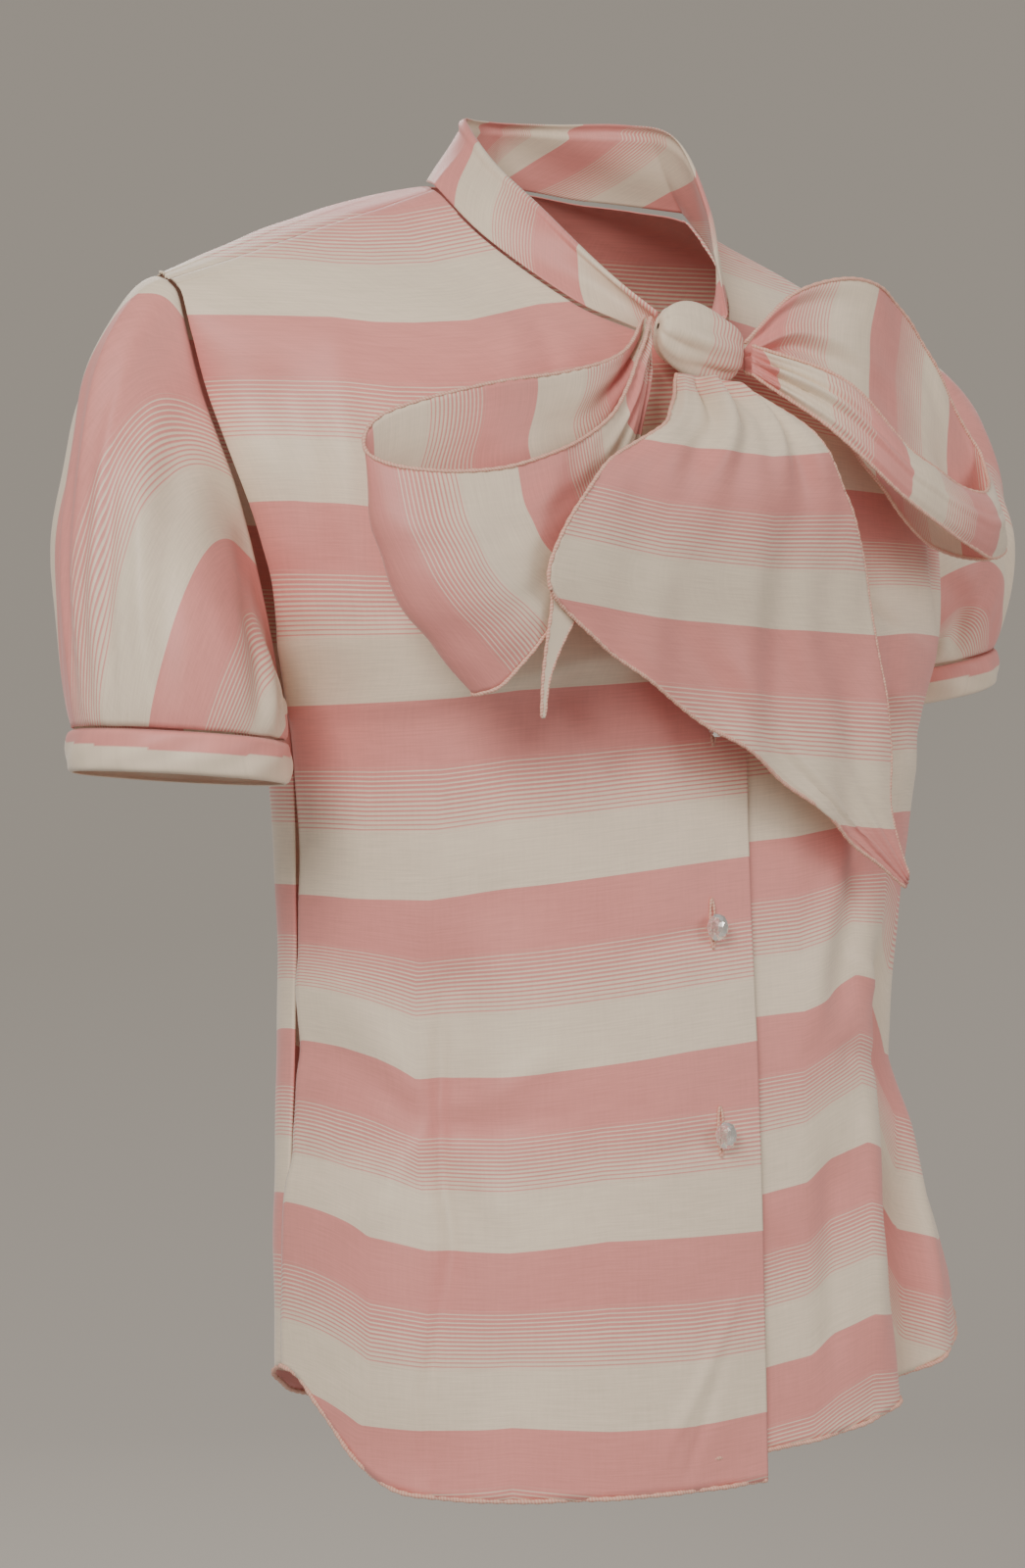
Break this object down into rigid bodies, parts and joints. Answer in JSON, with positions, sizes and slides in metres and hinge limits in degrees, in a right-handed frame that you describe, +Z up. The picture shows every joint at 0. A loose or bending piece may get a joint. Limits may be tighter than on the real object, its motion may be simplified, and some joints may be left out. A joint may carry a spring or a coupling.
{
  "type": "tie neck blouse",
  "caption": "Hollow short-sleeved blouse in its worn form, with puffed sleeves, turned-up cuffs, a band collar tied in a front bow, and shank buttons down the front.",
  "frame": {"origin": "middle of the neck, level with the inner ends of the shoulder seams, where the blouse is held by the shoulders and the neck", "axes": "+Z up, along the wearer's body; the front faces -Y; the wearer's right side is at -X"},
  "size_m": [0.5386, 0.2454, 0.5916],
  "materials": {
    "striped_cotton": "smooth woven cotton with a slight sheen, in wide pink, cream and pinstriped bands",
    "thin_tie_cloth": "thin, slightly sheer woven cotton in the same bands, with rolled edges",
    "clear_button": "clear faceted shank button"
  },
  "bodies": {
    "root": {"front_right": "striped_cotton", "front_left": "striped_cotton", "back": "striped_cotton", "sleeve_right": "striped_cotton", "sleeve_left": "striped_cotton", "cuff_right": "striped_cotton", "cuff_left": "striped_cotton", "collar": "thin_tie_cloth", "bow_knot": "thin_tie_cloth", "bow_loop_right": "thin_tie_cloth", "bow_loop_left": "thin_tie_cloth", "bow_tail_front": "thin_tie_cloth", "bow_tail_back": "thin_tie_cloth", "button_1": "clear_button", "button_2": "clear_button", "button_3": "clear_button", "button_4": "clear_button"}
  },
  "joints": []
}
